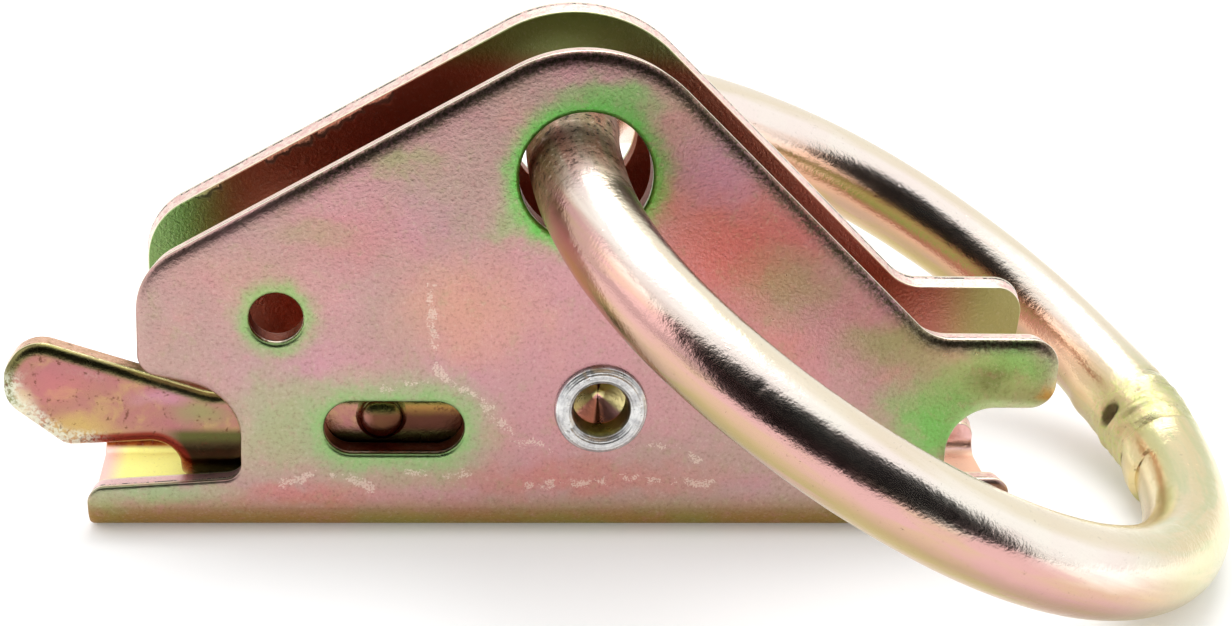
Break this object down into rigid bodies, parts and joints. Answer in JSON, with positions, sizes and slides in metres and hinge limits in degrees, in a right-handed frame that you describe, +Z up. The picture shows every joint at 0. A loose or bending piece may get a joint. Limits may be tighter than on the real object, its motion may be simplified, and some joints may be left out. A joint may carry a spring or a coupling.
{
  "type": "rail anchor with o-ring",
  "caption": "Folded steel anchor that hooks into a slotted tie-down rail, with a sprung sliding latch, a rivet and a freely swinging welded ring.",
  "frame": {"origin": "on the flat underside of the channel web, straight below the ring hole, midway between the cheeks", "axes": "+X along the channel from the latch end to the nose, +Y from the side with the rolled rivet rim to the side with the rivet head, +Z up from the web to the ring hole"},
  "size_m": [0.0947, 0.0625, 0.0386],
  "materials": {
    "plated_channel": "yellow zinc plating, satin, iridescent",
    "plated_latch": "yellow zinc plating, satin, iridescent",
    "rivet_steel": "clear zinc plating, dull",
    "spring_steel": "spring wire, smooth",
    "plated_ring": "yellow zinc plating, bright, iridescent"
  },
  "bodies": {
    "channel": {"channel": "plated_channel", "rivet": "rivet_steel", "spring": "spring_steel"},
    "latch": {"latch": "plated_latch"},
    "ring": {"ring": "plated_ring"}
  },
  "joints": [
    {"name": "latch_slide", "type": "slide", "parent": "channel", "child": "latch", "axis": [1, 0, 0], "range_m": [-0.0026, 0.004], "stiffness_N_per_m": 5000, "deforming": ["spring"]},
    {"name": "ring_swing", "type": "hinge", "parent": "channel", "child": "ring", "pos_m": [0, 0, 0.0292], "axis": [0, 1, 0], "continuous": true}
  ]
}
